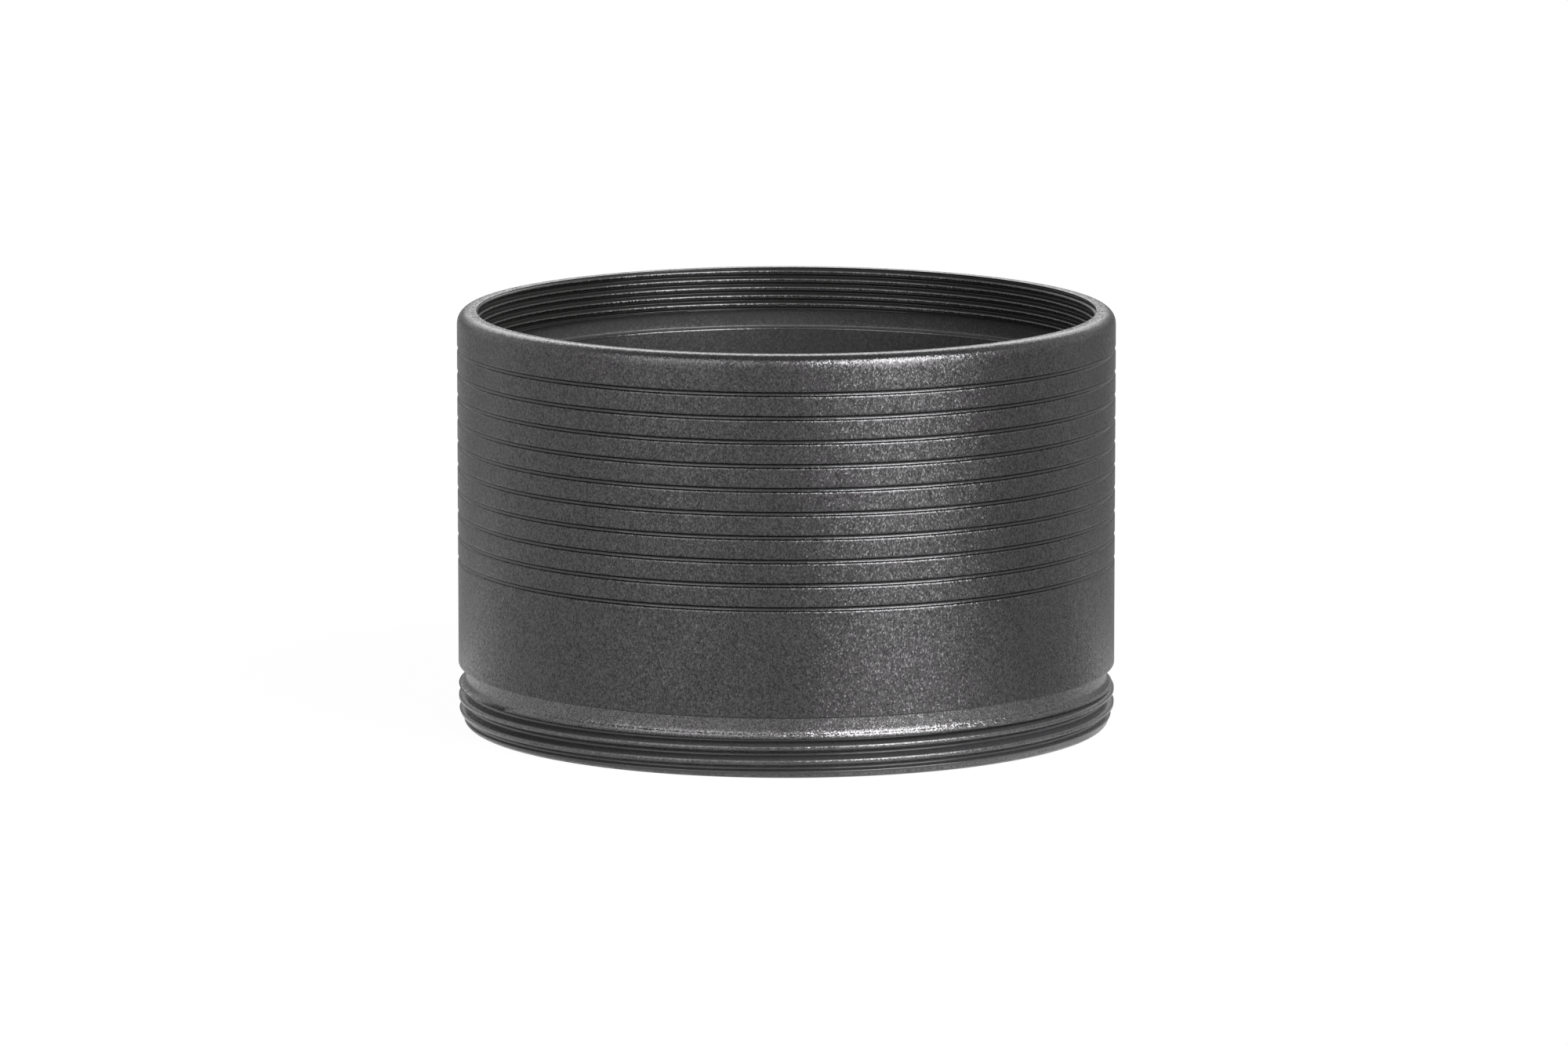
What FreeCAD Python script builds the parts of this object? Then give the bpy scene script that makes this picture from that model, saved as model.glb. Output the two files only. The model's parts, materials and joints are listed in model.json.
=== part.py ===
import FreeCAD, Part
import os

# Two inch nosepiece adapter for a telescope, turned from one bar of aluminium.
# It stands on the end face of its male thread, with the filter thread up.
# Millimetres. The origin is the centre of the foot's end face, and +Z is the optical axis.

# Tube
barrel_diameter = 50.8
overall_length = 32.15
wall_thickness = 1.8

# Rim with the filter thread in its mouth
rim_round_radius = 0.9
mouth_chamfer = 0.25
filter_thread_step = 0.15
filter_thread_length = 3.4
filter_relief_depth = 0.7
filter_relief_width = 1.3
ledge_break = 0.2

# Ring grooves that the focuser's clamp grips
groove_count = 10
groove_pitch = 1.81
groove_width = 0.5
groove_depth = 0.22
first_groove_from_rim = 2.9

# Male thread at the foot, with its neck and its lead in
thread_length = 3.05
thread_allowance = 0.02
neck_width = 1.63
neck_depth = 0.6
lead_in_length = 1.25
lead_in_depth = 0.54
foot_chamfer = 0.3

# The rim's round takes no more than this share of the rim's end face
rim_round_share = 0.9

barrel_radius = barrel_diameter / 2
bore_radius = barrel_radius - wall_thickness


def outer_outline():
    """Radius and height of each corner on the outside, from the foot to the rim."""
    thread_radius = barrel_radius - thread_allowance
    neck_radius = barrel_radius - neck_depth
    shoulder_height = thread_length + neck_width
    lead_in_slope = lead_in_depth / lead_in_length
    return [
        (thread_radius - lead_in_depth - foot_chamfer, 0),
        (thread_radius - lead_in_depth + foot_chamfer * lead_in_slope, foot_chamfer),
        (thread_radius, lead_in_length),
        (thread_radius, thread_length),
        (neck_radius, thread_length),
        (neck_radius, shoulder_height),
        (barrel_radius, shoulder_height),
        (barrel_radius, overall_length),
    ]


def inner_outline():
    """Radius and height of each corner on the inside, from the rim down to the foot."""
    crest_radius = bore_radius + filter_thread_step
    relief_radius = bore_radius + filter_relief_depth
    relief_top = overall_length - filter_thread_length
    ledge_height = relief_top - filter_relief_width
    return [
        (crest_radius + mouth_chamfer, overall_length),
        (crest_radius, overall_length - mouth_chamfer),
        (crest_radius, relief_top),
        (relief_radius, relief_top),
        (relief_radius, ledge_height),
        (bore_radius + ledge_break, ledge_height),
        (bore_radius, ledge_height - ledge_break),
        (bore_radius, 0),
    ]


def turned(outline):
    """Solid swept by a closed outline of radius and height once round the axis."""
    corners = [FreeCAD.Vector(radius, 0, height) for radius, height in outline]
    face = Part.Face(Part.makePolygon(corners + corners[:1]))
    return face.revolve(FreeCAD.Vector(0, 0, 0), FreeCAD.Vector(0, 0, 1), 360)


def corner_ring(solid, radius, height):
    """The circular edges of a solid at one radius and height."""
    middle = FreeCAD.Vector(0, 0, height)
    return [
        edge
        for edge in solid.Edges
        if isinstance(edge.Curve, Part.Circle)
        and edge.Curve.Center.isEqual(middle, 1e-6)
        and abs(edge.Curve.Radius - radius) < 1e-6
    ]


def tube_with_rounded_rim():
    """Tube with the outer corner of its rim rounded."""
    outside = outer_outline()
    inside = inner_outline()
    tube = turned(outside + inside)
    rim_corner, rim_edge = outside[-1], inside[0]
    rim_round = min(rim_round_radius, rim_round_share * (rim_corner[0] - rim_edge[0]))
    return tube.makeFillet(rim_round, corner_ring(tube, *rim_corner))


def groove_rings():
    """Rings of vee section that the grooves are cut with, counted down from the rim.

    A vee goes on past the barrel's wall by its own depth, where it is twice as wide.
    """
    tip_radius = barrel_radius - groove_depth
    clear_radius = barrel_radius + groove_depth
    rings = []
    for number in range(groove_count):
        middle = overall_length - first_groove_from_rim - number * groove_pitch
        lower, upper = middle - groove_width, middle + groove_width
        rings.append(turned([(tip_radius, middle), (clear_radius, lower), (clear_radius, upper)]))
    return rings


def nosepiece_body():
    """The whole adapter, with the grooves cut round its barrel."""
    return tube_with_rounded_rim().cut(groove_rings())


os.makedirs("parts", exist_ok=True)
body = nosepiece_body()
body.exportStep("parts/nosepiece_body.step")
print("nosepiece_body", len(body.Solids), "solid", round(body.Volume), "mm3")
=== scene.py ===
import json
import math

import bmesh
import bpy
import numpy as np
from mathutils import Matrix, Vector


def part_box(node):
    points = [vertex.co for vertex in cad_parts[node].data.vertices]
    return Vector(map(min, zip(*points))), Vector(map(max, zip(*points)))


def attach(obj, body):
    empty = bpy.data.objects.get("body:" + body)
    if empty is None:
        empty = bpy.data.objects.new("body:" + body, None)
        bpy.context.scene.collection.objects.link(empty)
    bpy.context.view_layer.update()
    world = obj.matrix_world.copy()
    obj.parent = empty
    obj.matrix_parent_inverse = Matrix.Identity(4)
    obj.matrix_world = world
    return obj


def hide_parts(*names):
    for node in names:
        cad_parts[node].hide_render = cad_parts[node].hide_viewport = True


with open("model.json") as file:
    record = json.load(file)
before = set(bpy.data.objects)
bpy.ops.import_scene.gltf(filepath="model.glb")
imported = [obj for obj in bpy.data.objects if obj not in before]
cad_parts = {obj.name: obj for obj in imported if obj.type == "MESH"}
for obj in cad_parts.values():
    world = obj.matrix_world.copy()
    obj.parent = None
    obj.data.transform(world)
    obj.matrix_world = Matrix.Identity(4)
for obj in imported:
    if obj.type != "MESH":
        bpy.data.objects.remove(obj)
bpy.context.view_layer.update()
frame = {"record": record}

mm = 0.001
fullTurn = 2 * math.pi
mounts = {mount["name"]: mount for mount in frame["record"]["mounts"]}


def radiusOf(mountName):
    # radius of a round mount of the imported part, in mm
    return mounts[mountName]["dims"]["r_mm"]


def endsOf(mountName):
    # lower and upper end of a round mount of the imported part, in mm above the foot
    mount = mounts[mountName]
    middle, half = mount["pos_m"][2] / mm, mount["dims"]["length_mm"] / 2
    return round(middle - half, 6), round(middle + half, 6)


# The tube, all in mm. Radii count from the optical axis and heights from the foot.
tube = {
    "facets": 256,              # round the axis
    "length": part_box("nosepiece_body")[1][2] / mm,
    "barrelRadius": radiusOf("barrel"),
    "boreRadius": 23.6,
    "boreJoin": 0.5,            # height in the bore where the section closes
    "edgeBreak": 0.2,           # of the foot's inner edge
    "footRound": 0.45,
    "leadInLength": endsOf("male_thread")[0],
    "leadInDepth": 0.54,
    "threadTop": endsOf("male_thread")[1],
    "neckRadius": 24.8,
    "neckFillet": 0.44,         # towards the thread
    "shoulder": endsOf("barrel")[0],
    "shoulderRound": 0.1,
    "rollFrom": 31.0,           # from here the rim rolls in gently, to rollTilt degrees, before its round
    "rollTilt": 6,
    "rollRadius": 2.9,
    "mouthRadius": 23.9,        # inner edge of the rim
    "threadMouth": endsOf("filter_thread")[1],      # where the mouth's chamfer reaches the thread's crests
    "runOut": 1.5,              # how steeply the thread's roots fall away from the mouth's edge
    "reliefRadius": 24.3,
    "reliefTop": endsOf("filter_thread")[0],
    "ledge": 27.36,
    "ledgeBreak": (0.07, 0.17),     # wide and high: steep, so it mirrors the lamps
    "cornerRound": 0.12,        # left by the tool's nose in inner corners
    "sharpRound": 0.04,         # edges that were only brushed
    "rubbedFrom": 36,           # degrees round the rim from the barrel, above which handling has rubbed it
}

# The clamp grooves, in mm, cut with a round nosed tool. Their edges are softened by the blasting.
grooves = {
    "count": 10, "pitch": 1.81, "firstFromRim": 2.9, "width": 0.62,
    "flankTilt": 58, "nose": 0.15, "edgeRound": 0.18,
}

# The threads, in mm. sense is 1 where the crests point out and -1 where they point in. The helix has a crest
# at crestHeight where the azimuth is atTurn turns: in front on the male thread, and at the back on the other.
maleThread = {
    "pitch": 25.4 / 24, "crestRadius": radiusOf("male_thread"), "depth": 0.6, "crestFlat": 0.22,
    "flankAngle": 30, "flankRows": 6, "ease": 0.35, "sense": 1, "crestHeight": 2.37, "atTurn": -0.25,
}
filterThread = {
    "pitch": 0.653, "crestRadius": radiusOf("filter_thread"), "depth": 0.33, "crestFlat": 0.2,
    "flankAngle": 30, "flankRows": 4, "ease": 0.35, "sense": -1, "crestHeight": 31.766, "atTurn": 0.25,
}
spareTurns = 2      # of thread rows past each end, which are cut off flat there

# Steps of each arc of the section. Where the thread doesn't reach, the foot's round keeps one point in
# footEvery.
arcSteps = {
    "corner": 3, "shoulder": 4, "foot": 24, "footEvery": 3, "grooveEdge": 4, "grooveNose": 6,
    "roll": 3, "blastedRound": 8, "rubbedRound": 10,
}


def cornerArc(before, corner, after, radius, steps=arcSteps["corner"]):
    # points of the fillet of one corner: centre on the bisector, and even angles between the tangent points
    before, corner, after = (np.array(point, float) for point in (before, corner, after))
    towardsBefore = (before - corner) / np.linalg.norm(before - corner)
    towardsAfter = (after - corner) / np.linalg.norm(after - corner)
    halfAngle = math.acos(np.clip(towardsBefore @ towardsAfter, -1, 1)) / 2
    bisector = (towardsBefore + towardsAfter) / np.linalg.norm(towardsBefore + towardsAfter)
    centre = corner + bisector * radius / math.sin(halfAngle)
    start = corner + towardsBefore * radius / math.tan(halfAngle) - centre
    end = corner + towardsAfter * radius / math.tan(halfAngle) - centre
    sweep = math.acos(np.clip(start @ end / radius**2, -1, 1))
    share = np.linspace(0, 1, steps + 1)[:, None]
    return centre + (np.sin((1 - share) * sweep) * start + np.sin(share * sweep) * end) / math.sin(sweep)


def tiltArc(start, radius, fromTilt, toTilt, steps):
    # points of an arc along which the wall's normal leans up from one tilt to the other, in degrees:
    # start + radius * change of the normal. A negative radius makes the arc hollow.
    tilt = np.radians(np.linspace(fromTilt, toTilt, steps + 1))
    normal = np.stack([np.cos(tilt), np.sin(tilt)], axis=1)
    return np.array(start) + radius * (normal - normal[0])


def softOutline(corners):
    # outline of radius and height through corners of (radius, height, round, steps). The steps may be left
    # out, and a sharp corner or an end is only (radius, height).
    points = []
    for number, (radius, height, *rounding) in enumerate(corners):
        if rounding:
            before, after = corners[number - 1][:2], corners[number + 1][:2]
            points.append(cornerArc(before, (radius, height), after, *rounding))
        else:
            points.append(np.array([(radius, height)]))
    return np.vstack(points)


def turnedRows(outline, columns):
    # the same radius and height at every azimuth: arrays of row by column
    return np.repeat(outline[:, :1], columns, axis=1), np.repeat(outline[:, 1:], columns, axis=1)


def threadRows(thread, low, high, azimuth):
    # rows that climb one pitch in a turn, cut off flat at low and high. The radius falls from the crest to
    # the root with the distance from the nearest crest: radius = crest - depth * eased share of the flank.
    pitch = thread["pitch"]
    halfCrest = thread["crestFlat"] / 2
    flank = thread["depth"] * math.tan(math.radians(thread["flankAngle"]))
    onFlank = np.linspace(0, 1, thread["flankRows"] + 2) * flank + halfCrest
    offsets = np.concatenate([[-pitch / 2], -onFlank[::-1], onFlank])
    base = thread["crestHeight"] - pitch * thread["atTurn"]
    firstTurn = math.floor((low - base) / pitch) - spareTurns
    turns = np.arange(firstTurn, math.ceil((high - base) / pitch) + spareTurns)
    rows = (turns[:, None] * pitch + offsets[None, :]).ravel()
    climb = base + pitch * azimuth / fullTurn
    height = np.clip(rows[:, None] + climb[None, :], low, high)
    fromCrest = height - climb
    fromCrest = np.abs(fromCrest - pitch * np.round(fromCrest / pitch))
    share = np.clip((fromCrest - halfCrest) / flank, 0, 1)
    share = share - thread["ease"] * np.sin(fullTurn * share) / fullTurn
    onCrest = np.tile(offsets == -halfCrest, len(turns))     # the rows whose next row is across the crest
    return thread["crestRadius"] - thread["sense"] * thread["depth"] * share, height, onCrest


def footEnvelope(height, arcCentre, tangent):
    # radius of the rounded foot, the lead-in and the full thread, at a height
    arc = arcCentre[0] + np.sqrt(np.maximum(tube["footRound"] ** 2 - (arcCentre[1] - height) ** 2, 0))
    slope = tube["leadInDepth"] / tube["leadInLength"]
    leadIn = maleThread["crestRadius"] - np.maximum(tube["leadInLength"] - height, 0) * slope
    return np.where(height < tangent, arc, leadIn)


def grooveRows(middle):
    # One groove, going up: a rounded edge, a straight flank, the hollow left by the tool's nose, the other
    # flank and the other rounded edge. The flanks take what the arcs leave of the width.
    edge, nose, tilt = grooves["edgeRound"], grooves["nose"], grooves["flankTilt"]
    steep = math.radians(tilt)
    flank = (grooves["width"] / 2 - (edge + nose) * math.sin(steep)) / math.cos(steep)
    start = (tube["barrelRadius"], middle - grooves["width"] / 2)
    lower = tiltArc(start, edge, 0, tilt, arcSteps["grooveEdge"])
    hollowStart = lower[-1] + flank * np.array([-math.sin(steep), math.cos(steep)])
    hollow = tiltArc(hollowStart, -nose, tilt, -tilt, arcSteps["grooveNose"])
    upper = lower[::-1] * (1, -1) + (0, 2 * middle)
    return lower, hollow, upper


def tubeRows(azimuth):
    # the whole closed section, from the foot's inner edge up the outside and down the inside
    columns = len(azimuth)
    blocks = []     # (radius rows, height rows, finish of the faces after each row, or one for all of them)
    length, barrel, bore = tube["length"], tube["barrelRadius"], tube["boreRadius"]
    soft = tube["sharpRound"]
    boreJoin = (bore, tube["boreJoin"])

    footCorner = (maleThread["crestRadius"] - tube["leadInDepth"], 0)
    leadInEnd = (maleThread["crestRadius"], tube["leadInLength"])
    footArc = cornerArc((bore, 0), footCorner, leadInEnd, tube["footRound"], arcSteps["foot"])
    arcCentre = (footArc[0][0], tube["footRound"])
    rootRadius = maleThread["crestRadius"] - maleThread["depth"]
    threadFoot = tube["footRound"] - math.sqrt(tube["footRound"] ** 2 - (rootRadius - arcCentre[0]) ** 2)
    edge = tube["edgeBreak"]
    foot = softOutline([boreJoin, (bore, edge, soft), (bore + edge, 0, soft), footArc[0]])
    plainArc = footArc[footArc[:, 1] < threadFoot][::arcSteps["footEvery"]]
    blocks.append((*turnedRows(np.vstack([foot, plainArc[1:]]), columns), "cut"))

    radius, height, onCrest = threadRows(maleThread, threadFoot, tube["threadTop"], azimuth)
    radius = np.minimum(radius, footEnvelope(height, arcCentre, footArc[-1][1]))
    blocks.append((radius, height, np.where(onCrest, "crest", "thread")))

    neck, shoulder, fillet = tube["neckRadius"], tube["shoulder"], tube["neckFillet"]
    shoulderRows = softOutline([
        (neck + fillet, tube["threadTop"]),
        (neck, tube["threadTop"] + fillet, fillet, arcSteps["shoulder"]),
        (neck, shoulder, tube["cornerRound"]),
        (barrel, shoulder, tube["shoulderRound"], arcSteps["shoulder"]),
        (barrel, tube["rollFrom"]),
    ])[:-1]
    onNeck = shoulderRows[:, 1] < shoulder - tube["cornerRound"]
    blocks.append((*turnedRows(shoulderRows, columns), np.where(onNeck, "crest", "blasted")))
    for number in reversed(range(grooves["count"])):
        lower, hollow, upper = grooveRows(length - grooves["firstFromRim"] - number * grooves["pitch"])
        blocks.append((*turnedRows(lower, columns), "blasted"))
        blocks.append((*turnedRows(hollow, columns), "cut"))
        blocks.append((*turnedRows(upper, columns), "blasted"))

    tilt, rubbedFrom = tube["rollTilt"], tube["rubbedFrom"]
    roll = tiltArc((barrel, tube["rollFrom"]), tube["rollRadius"], 0, tilt, arcSteps["roll"])
    rimRound = (length - roll[-1][1]) / (1 - math.sin(math.radians(tilt)))
    blastedRound = tiltArc(roll[-1], rimRound, tilt, rubbedFrom, arcSteps["blastedRound"])
    blocks.append((*turnedRows(np.vstack([roll[:-1], blastedRound[:-1]]), columns), "blasted"))
    rubbedRound = tiltArc(blastedRound[-1], rimRound, rubbedFrom, 90, arcSteps["rubbedRound"])
    threadEdge = (filterThread["crestRadius"], tube["threadMouth"])
    mouth = cornerArc(rubbedRound[-1], (tube["mouthRadius"], length), threadEdge, soft)
    blocks.append((*turnedRows(np.vstack([rubbedRound, mouth]), columns), "rim"))

    # the chamfer of the mouth is cut last, so the thread runs out in it
    radius, height, onCrest = threadRows(filterThread, tube["reliefTop"], mouth[-1][1], azimuth)
    below = mouth[-1][1] - height
    radius = np.clip(radius, mouth[-1][0] - below, mouth[-1][0] + below * tube["runOut"])
    onCrest = np.roll(onCrest, 1)[::-1]     # read downwards, a crest's faces follow its other row
    blocks.append((radius[::-1], height[::-1], np.where(onCrest, "blasted", "inner")))

    relief, ledge = tube["reliefRadius"], tube["ledge"]
    breakWidth, breakHeight = tube["ledgeBreak"]
    reliefCorner = (relief, ledge, tube["cornerRound"])
    recess = softOutline([(relief, tube["reliefTop"]), reliefCorner, (bore, ledge)])[:-1]
    inside = np.vstack([recess, (bore + breakWidth, ledge), (bore, ledge - breakHeight), boreJoin])
    blocks.append((*turnedRows(inside, columns), ["relief"] * len(recess) + ["cut", "bore", "bore"]))
    return blocks


def addNode(tree, kind, inputs=None, **settings):
    # adds a node, sets its options, and fills its sockets with values or with links from other sockets
    node = tree.nodes.new(kind)
    for name, value in settings.items():
        setattr(node, name, value)
    for name, value in (inputs or {}).items():
        if isinstance(value, bpy.types.NodeSocket):
            tree.links.new(value, node.inputs[name])
        else:
            node.inputs[name].default_value = value
    return node


def linear(hexColour):
    # sRGB hex to linear red, green, blue and alpha
    values = [int(hexColour[i:i + 2], 16) / 255 for i in (1, 3, 5)]
    return [v / 12.92 if v <= 0.04045 else ((v + 0.055) / 1.055) ** 2.4 for v in values] + [1]


# Finishes of the one metal, with what each gives the eye. Grain and cloud are in mm. The colours are what
# the dyed black coat reflects: each dent of the grain has its own between dark and light. Where the coat
# hides the metal, metal is 0. The grain is coarser than real, so that it shows.
finishes = {
    # blasted with glass beads: a satin sparkle, from the dents of the beads
    "blasted": {"metal": 1.0, "dark": "#2e2d2e", "light": "#5b5a5b", "roughness": 0.25,
                "grain": (0.085, 0.085, 0.12), "tilt": 0.25, "cloud": 3.0},
    # the same over rougher metal, on the neck and the crests of the male thread: brighter
    "crest": {"metal": 1.0, "dark": "#3a393a", "light": "#727172", "roughness": 0.25,
              "grain": (0.085, 0.085, 0.085), "tilt": 0.3, "cloud": 3.0},
    # as turned: smooth, with fine lines round the axis
    "cut": {"metal": 1.0, "dark": "#3c3c3d", "light": "#4c4c4d", "roughness": 0.22,
            "grain": (0.12, 0.12, 0.05), "tilt": 0.12, "cloud": 1.5},
    # blasted, and rubbed by handling: glossier than the barrel
    "rim": {"metal": 1.0, "dark": "#343435", "light": "#5a5a5b", "roughness": 0.18,
            "grain": (0.085, 0.085, 0.085), "tilt": 0.16, "cloud": 2.0},
    # the flanks and roots of the male thread: dark, with glossy lines
    "thread": {"metal": 0.0, "dark": "#29292a", "light": "#323233", "roughness": 0.22,
               "grain": (0.12, 0.12, 0.05), "tilt": 0.12, "cloud": 1.5},
    # the flanks and roots of the filter thread: darker
    "inner": {"metal": 0.0, "dark": "#1b1c1b", "light": "#232422", "roughness": 0.3,
              "grain": (0.12, 0.12, 0.05), "tilt": 0.08, "cloud": 1.5},
    # the relief under the filter thread: satin
    "relief": {"metal": 0.0, "dark": "#2d2c2d", "light": "#393838", "roughness": 0.4,
               "grain": (0.12, 0.12, 0.12), "tilt": 0.2, "cloud": 2.0},
    # the bore: matt, against stray light
    "bore": {"metal": 0.0, "dark": "#1a191a", "light": "#212020", "roughness": 0.5,
             "grain": (0.12, 0.12, 0.12), "tilt": 0.2, "cloud": 4.0},
}
cloudShare = 0.2        # of the colour's change that comes from the cloud, and the rest from the grain
cloudDetail = 3.0       # octaves of the cloud's noise


def anodise(name, look):
    # Black anodised aluminium: a thin dyed coat over metal. It shades like a nearly black metal, or like the
    # coat alone where that hides the metal.
    # Each cell of the grain is a small facet that leans its own way, which gives the sparkle.
    # A Mix node has its numbers A and B at sockets 2 and 3, and its colours A and B at 6 and 7.
    material = bpy.data.materials.new(name)
    material.use_nodes = True
    tree = material.node_tree
    tree.nodes.clear()
    place = addNode(tree, "ShaderNodeTexCoord").outputs["Object"]
    scale = [1 / (side * mm) for side in look["grain"]]
    grainPlace = addNode(tree, "ShaderNodeMapping", {"Vector": place, "Scale": scale})
    cells = addNode(tree, "ShaderNodeTexVoronoi", {"Vector": grainPlace.outputs[0], "Scale": 1.0})
    ownColour = cells.outputs["Color"]      # of each cell, at random
    middle = (0.5, 0.5, 0.5)
    lean = addNode(tree, "ShaderNodeVectorMath", {0: ownColour, 1: middle}, operation="SUBTRACT")
    lean = addNode(tree, "ShaderNodeVectorMath", {0: lean.outputs[0], "Scale": look["tilt"]},
                   operation="SCALE")
    normal = addNode(tree, "ShaderNodeNewGeometry").outputs["Normal"]
    normal = addNode(tree, "ShaderNodeVectorMath", {0: normal, 1: lean.outputs[0]}, operation="ADD")
    normal = addNode(tree, "ShaderNodeVectorMath", {0: normal.outputs[0]}, operation="NORMALIZE")
    chance = addNode(tree, "ShaderNodeTexWhiteNoise", {"Vector": ownColour})
    cloud = addNode(tree, "ShaderNodeTexNoise", {
        "Vector": place, "Scale": 1 / (look["cloud"] * mm), "Detail": cloudDetail,
    })
    share = addNode(tree, "ShaderNodeMix", {0: cloudShare, 2: chance.outputs["Value"], 3: cloud.outputs[0]})
    colour = addNode(tree, "ShaderNodeMix", {
        "Factor": share.outputs[0], 6: linear(look["dark"]), 7: linear(look["light"]),
    }, data_type="RGBA")
    surface = addNode(tree, "ShaderNodeBsdfPrincipled", {
        "Base Color": colour.outputs[2], "Roughness": look["roughness"], "Metallic": look["metal"],
        "Normal": normal.outputs[0],
    })
    addNode(tree, "ShaderNodeOutputMaterial", {"Surface": surface.outputs[0]})
    return material


joinDistance = 1e-7     # metres: closes the seam and drops the rows that are cut off flat
faceWeight = 100        # 50 is neutral, and at 100 the large faces count most in the shading of an edge


def buildTube():
    # a surface of revolution, over rows of the section by azimuth:
    # x, y, z = radius * cosine, radius * sine, height
    azimuth = np.linspace(0, fullTurn, tube["facets"] + 1)
    blocks = tubeRows(azimuth)
    radius = np.vstack([block[0] for block in blocks]) * mm
    height = np.vstack([block[1] for block in blocks]) * mm
    finish = np.concatenate([np.full(len(block[0]), block[2], dtype="U16") for block in blocks])
    finish = (finish[:, None] == np.array(list(finishes))).argmax(axis=1)
    points = np.stack([radius * np.cos(azimuth), radius * np.sin(azimuth), height], axis=-1)
    rows, columns = radius.shape
    row, column = np.meshgrid(np.arange(rows), np.arange(columns - 1), indexing="ij")
    after = (row + 1) % rows
    quads = np.stack([
        row * columns + column,
        row * columns + column + 1,
        after * columns + column + 1,
        after * columns + column,
    ], axis=-1).reshape(-1, 4)
    mesh = bpy.data.meshes.new("nosepiece_tube")
    mesh.from_pydata(points.reshape(-1, 3), [], quads)
    mesh.polygons.foreach_set("material_index", np.repeat(finish, columns - 1))
    work = bmesh.new()
    work.from_mesh(mesh)
    bmesh.ops.remove_doubles(work, verts=work.verts, dist=joinDistance)
    bmesh.ops.recalc_face_normals(work, faces=work.faces)
    openEdges = sum(not edge.is_manifold for edge in work.edges)
    work.to_mesh(mesh)
    work.free()
    mesh.shade_smooth()
    piece = bpy.data.objects.new("nosepiece_tube", mesh)
    bpy.context.collection.objects.link(piece)
    for name, look in finishes.items():
        mesh.materials.append(anodise(name + "Anodise", look))
    corners = piece.modifiers.new("faceWeights", "WEIGHTED_NORMAL")
    corners.mode = "FACE_AREA"
    corners.weight = faceWeight
    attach(piece, "root")
    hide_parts("nosepiece_body")
    print("tube:", rows, "rows,", len(mesh.polygons), "faces,", openEdges, "open edges")


# The camera, from the fit to the photograph. Distance, aim point on the axis, shift to the side, lens and
# sensor are in mm, and near and far in metres.
cameraLook = {
    "distance": 785.58, "pitch": 9.2118, "aimHeight": 15.48, "sideways": -0.183,
    "lens": 233.15, "sensor": 36, "near": 0.01, "far": 50,
}


def buildCamera():
    data = bpy.data.cameras.new("camera")
    data.sensor_width = cameraLook["sensor"]
    data.lens = cameraLook["lens"]
    data.clip_start = cameraLook["near"]
    data.clip_end = cameraLook["far"]
    camera = bpy.data.objects.new("camera", data)
    pitch = math.radians(cameraLook["pitch"])
    camera.location = Vector((
        cameraLook["sideways"],
        -cameraLook["distance"] * math.cos(pitch),
        cameraLook["aimHeight"] + cameraLook["distance"] * math.sin(pitch),
    )) * mm
    camera.rotation_euler = (math.pi / 2 - pitch, 0, 0)
    bpy.context.collection.objects.link(camera)
    bpy.context.scene.camera = camera
    print("camera: ready")


# Soft boxes: azimuth from the camera's side towards +X, elevation, distance from the aim point, width,
# height and power. Degrees, metres and watts.
lamps = {
    "rightBox": (40, 31, 0.6, 0.43, 0.78, 5.0),
    "rightCore": (46, 45, 0.59, 0.38, 0.26, 2.85),
    "leftBox": (-39, 31, 0.6, 0.43, 0.78, 1.0),
    "leftCore": (-43, 45, 0.59, 0.38, 0.26, 0.5),
    "backBox": (180, 34, 1.0, 0.9, 0.42, 1.6),
}
lampAim = (0, 0, 0.016)


def buildLamps():
    for name, (azimuth, elevation, distance, width, height, power) in lamps.items():
        data = bpy.data.lights.new(name, "AREA")
        data.shape = "RECTANGLE"
        data.size = width
        data.size_y = height
        data.energy = power
        turn, lift = math.radians(azimuth), math.radians(elevation)
        levelPart = math.cos(lift)
        direction = Vector((math.sin(turn) * levelPart, -math.cos(turn) * levelPart, math.sin(lift)))
        light = bpy.data.objects.new(name, data)
        light.location = Vector(lampAim) + direction * distance
        light.rotation_euler = direction.to_track_quat("Z", "Y").to_euler()
        bpy.context.collection.objects.link(light)
    print("lamps:", len(lamps))


# Levels of the surroundings, where 1 is white: asLight as they light the part, and the others as it mirrors
# them. All dim to the zenith. What it mirrors is darker on the right than on the left. Straight behind it is
# dark at the horizon, rises to a glow and falls back to plain, and this fades out by behindAngle to the side.
# The glow is full within glowFrom and gone past glowTo. Angles to the side are in radians, and heights are
# sines of the elevation.
worldLook = {
    "asLight": 0.45, "zenith": 0.5, "dimFrom": 0.57, "dimTo": 0.98, "leftLevel": 1.1, "rightLevel": 0.92,
    "behindAngle": 0.95, "horizonLevel": 0.24, "riseFrom": 0.08, "riseTo": 0.3,
    "fallFrom": 0.34, "fallTo": 0.6, "glowFrom": 0.1, "glowTo": 0.3, "glowLevel": 2.1, "besideGlow": 0.7,
}


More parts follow.
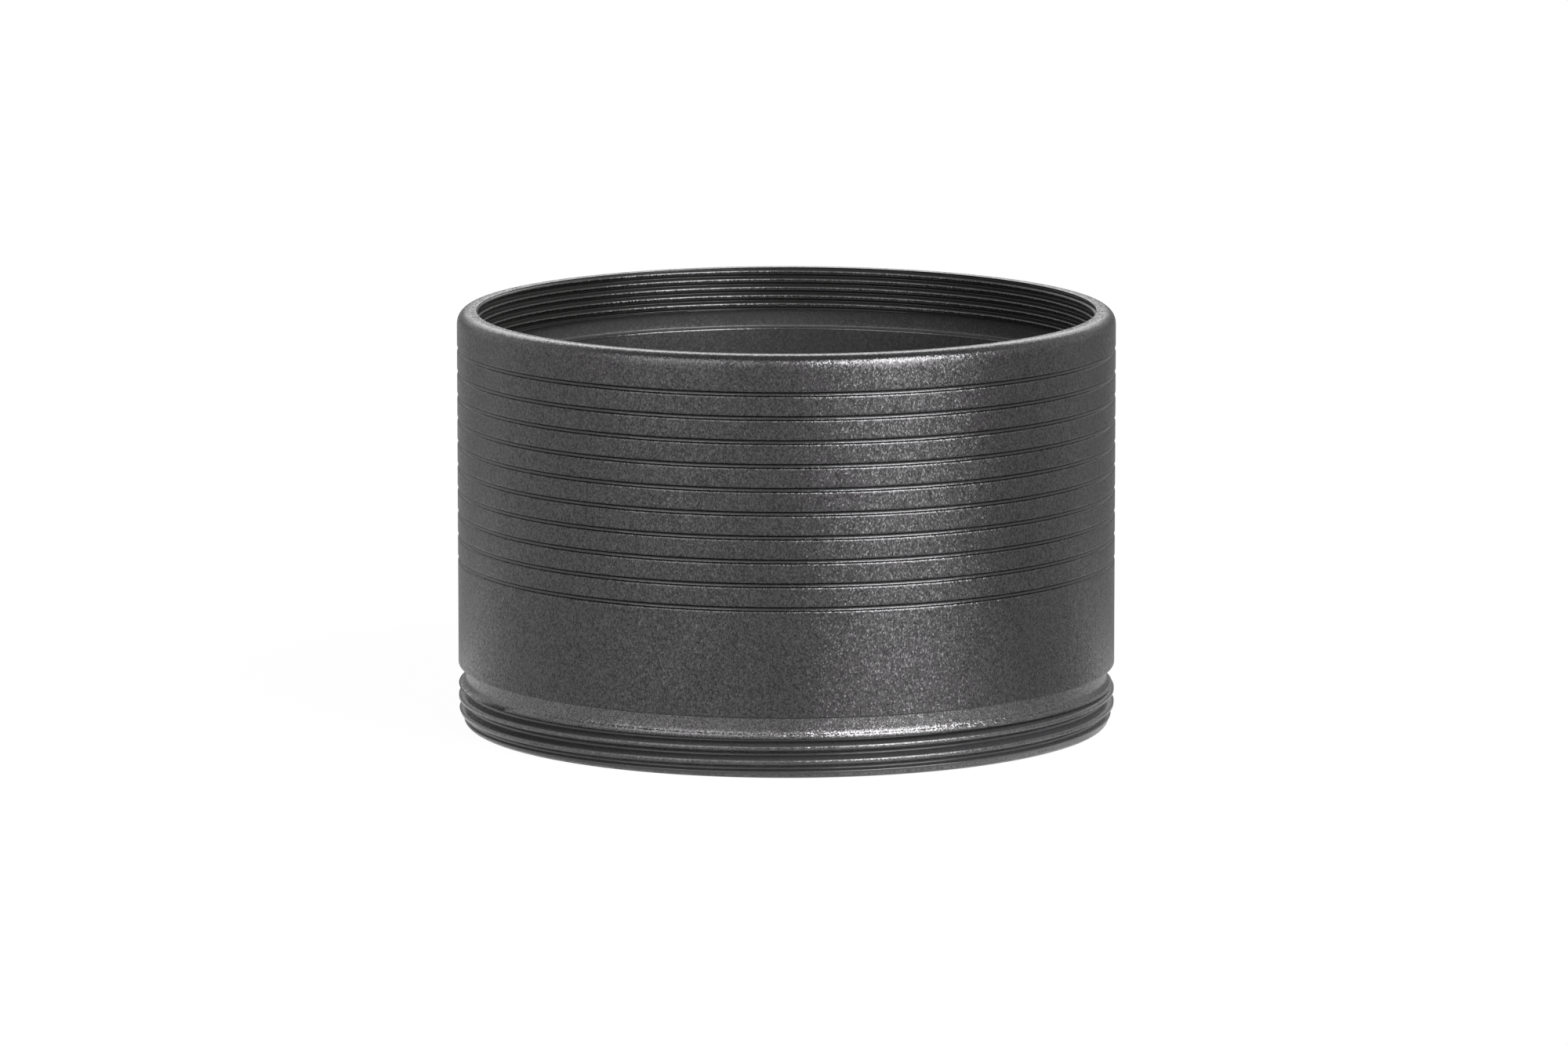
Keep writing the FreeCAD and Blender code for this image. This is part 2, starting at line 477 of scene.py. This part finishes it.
def buildWorld():
    # white to the camera, and worldLook's levels as light and in the part's mirror image
    world = bpy.data.worlds.new("studio")
    bpy.context.scene.world = world
    world.use_nodes = True
    tree = world.node_tree
    tree.nodes.clear()
    path = addNode(tree, "ShaderNodeLightPath").outputs
    generated = addNode(tree, "ShaderNodeTexCoord").outputs["Generated"]
    direction = addNode(tree, "ShaderNodeSeparateXYZ", {0: generated}).outputs
    side = addNode(tree, "ShaderNodeMapRange", {
        "Value": direction["X"], "From Min": -1.0, "From Max": 1.0,
        "To Min": worldLook["leftLevel"], "To Max": worldLook["rightLevel"],
    })
    turn = addNode(tree, "ShaderNodeMath", {0: direction["X"], 1: direction["Y"]}, operation="ARCTAN2")
    turn = addNode(tree, "ShaderNodeMath", {0: turn.outputs[0]}, operation="ABSOLUTE")
    glow = addNode(tree, "ShaderNodeMapRange", {
        "Value": turn.outputs[0], "From Min": worldLook["glowFrom"], "From Max": worldLook["glowTo"],
        "To Min": worldLook["glowLevel"], "To Max": worldLook["besideGlow"],
    }, interpolation_type="SMOOTHSTEP")
    rise = addNode(tree, "ShaderNodeMapRange", {
        "Value": direction["Z"], "From Min": worldLook["riseFrom"], "From Max": worldLook["riseTo"],
        "To Min": worldLook["horizonLevel"], "To Max": glow.outputs[0],
    }, interpolation_type="SMOOTHSTEP")
    fall = addNode(tree, "ShaderNodeMapRange", {
        "Value": direction["Z"], "From Min": worldLook["fallFrom"], "From Max": worldLook["fallTo"],
        "To Min": rise.outputs[0], "To Max": 1.0,
    }, interpolation_type="SMOOTHSTEP")
    behind = addNode(tree, "ShaderNodeMapRange", {
        "Value": turn.outputs[0],
        "From Min": worldLook["behindAngle"] / 2, "From Max": worldLook["behindAngle"],
        "To Min": fall.outputs[0], "To Max": 1.0,
    }, interpolation_type="SMOOTHSTEP")
    side = addNode(tree, "ShaderNodeMath", {0: side.outputs[0], 1: behind.outputs[0]}, operation="MULTIPLY")
    level = addNode(tree, "ShaderNodeMapRange", {
        "Value": path["Is Glossy Ray"], "To Min": worldLook["asLight"], "To Max": side.outputs[0],
    })
    ceiling = addNode(tree, "ShaderNodeMapRange", {
        "Value": direction["Z"], "From Min": worldLook["dimFrom"], "From Max": worldLook["dimTo"],
        "To Min": 1.0, "To Max": worldLook["zenith"],
    }, interpolation_type="SMOOTHSTEP")
    level = addNode(tree, "ShaderNodeMath", {0: level.outputs[0], 1: ceiling.outputs[0]},
                    operation="MULTIPLY")
    level = addNode(tree, "ShaderNodeMath", {0: level.outputs[0], 1: path["Is Camera Ray"]},
                    operation="MAXIMUM")
    light = addNode(tree, "ShaderNodeBackground", {"Color": (1, 1, 1, 1), "Strength": level.outputs[0]})
    addNode(tree, "ShaderNodeOutputWorld", {"Surface": light.outputs[0]})
    print("world: ready")


# The pale table, in metres. Its own light hides nearShare of the shadow within clearFrom of the axis, and all
# of it past clearTo. The glow that the part mirrors holds painted light and shade: brighter on the left
# than on the right, a painted shade behind, and a painted sheen, the soft box's highlight, around one
# direction. behindFrom and behindTo are radians to the side of straight behind, and the painted sheen's
# bounds are cosines of the angle from its middle.
tableLook = {
    "half": 6.0, "colour": "#f4f4f4", "nearShare": 0.97, "clearFrom": 0.04, "clearTo": 0.12,
    "leftLevel": 1.0, "rightLevel": 0.8, "sideReach": 0.07,
    "behindFrom": 0.75, "behindTo": 1.22, "paintedShadeBehind": 0.42,
    "paintedSheenTowards": (0.573, -0.819, 0), "paintedSheenFrom": 0.84, "paintedSheenTo": 0.97, "paintedSheen": 0.5,
}


def paleTable():
    # painted table top, matt: a diffuse base, and over it a white emission that the camera and the part's
    # mirror image see. To the mirror image this emission carries painted light, painted shade and a painted
    # sheen.
    material = bpy.data.materials.new("paleTable")
    material.use_nodes = True
    tree = material.node_tree
    tree.nodes.clear()
    path = addNode(tree, "ShaderNodeLightPath").outputs
    place = addNode(tree, "ShaderNodeTexCoord").outputs["Object"]
    along = addNode(tree, "ShaderNodeSeparateXYZ", {0: place}).outputs
    # painted light and shade: the glow that the part mirrors is brighter on the left than on the right
    side = addNode(tree, "ShaderNodeMapRange", {
        "Value": along["X"], "From Min": -tableLook["sideReach"], "From Max": tableLook["sideReach"],
        "To Min": tableLook["leftLevel"], "To Max": tableLook["rightLevel"],
    }, interpolation_type="SMOOTHSTEP")
    turn = addNode(tree, "ShaderNodeMath", {0: along["X"], 1: along["Y"]}, operation="ARCTAN2")
    turn = addNode(tree, "ShaderNodeMath", {0: turn.outputs[0]}, operation="ABSOLUTE")
    # painted shade: the glow that the part mirrors is darker behind the part
    behind = addNode(tree, "ShaderNodeMapRange", {
        "Value": turn.outputs[0], "From Min": tableLook["behindFrom"], "From Max": tableLook["behindTo"],
        "To Min": tableLook["paintedShadeBehind"], "To Max": 1.0,
    }, interpolation_type="SMOOTHSTEP")
    side = addNode(tree, "ShaderNodeMath", {0: side.outputs[0], 1: behind.outputs[0]}, operation="MULTIPLY")
    # painted sheen: a painted highlight of the soft box, added to the glow that the part mirrors
    towards = addNode(tree, "ShaderNodeVectorMath", {0: place}, operation="NORMALIZE")
    towards = addNode(tree, "ShaderNodeVectorMath", {0: towards.outputs[0], 1: tableLook["paintedSheenTowards"]},
                      operation="DOT_PRODUCT")
    paintedSheen = addNode(tree, "ShaderNodeMapRange", {
        "Value": towards.outputs["Value"],
        "From Min": tableLook["paintedSheenFrom"], "From Max": tableLook["paintedSheenTo"],
        "To Min": 0.0, "To Max": tableLook["paintedSheen"],
    }, interpolation_type="SMOOTHSTEP")
    side = addNode(tree, "ShaderNodeMath", {0: side.outputs[0], 1: paintedSheen.outputs[0]}, operation="ADD")
    strength = addNode(tree, "ShaderNodeMapRange", {
        "Value": path["Is Camera Ray"], "To Min": side.outputs[0], "To Max": 1.0,
    })
    away = addNode(tree, "ShaderNodeVectorMath", {0: place}, operation="LENGTH")
    share = addNode(tree, "ShaderNodeMapRange", {
        "Value": away.outputs["Value"],
        "From Min": tableLook["clearFrom"], "From Max": tableLook["clearTo"],
        "To Min": tableLook["nearShare"], "To Max": 1.0,
    })
    seen = addNode(tree, "ShaderNodeMath", {0: path["Is Camera Ray"], 1: path["Is Glossy Ray"]},
                   operation="MAXIMUM")
    share = addNode(tree, "ShaderNodeMath", {0: seen.outputs[0], 1: share.outputs[0]}, operation="MULTIPLY")
    matt = addNode(tree, "ShaderNodeBsdfDiffuse", {"Color": linear(tableLook["colour"])})
    white = addNode(tree, "ShaderNodeEmission", {"Color": (1, 1, 1, 1), "Strength": strength.outputs[0]})
    mix = addNode(tree, "ShaderNodeMixShader", {
        0: share.outputs[0], 1: matt.outputs[0], 2: white.outputs[0],
    })
    addNode(tree, "ShaderNodeOutputMaterial", {"Surface": mix.outputs[0]})
    return material


def buildFloor():
    half = tableLook["half"]
    corners = [(-half, -half, 0), (half, -half, 0), (half, half, 0), (-half, half, 0)]
    mesh = bpy.data.meshes.new("floor")
    mesh.from_pydata(corners, [], [(0, 1, 2, 3)])
    mesh.materials.append(paleTable())
    floor = bpy.data.objects.new("floor", mesh)
    bpy.context.collection.objects.link(floor)
    print("floor: ready")


buildTube()
buildCamera()
buildLamps()
buildWorld()
buildFloor()
bpy.context.scene.view_settings.view_transform = "Standard"
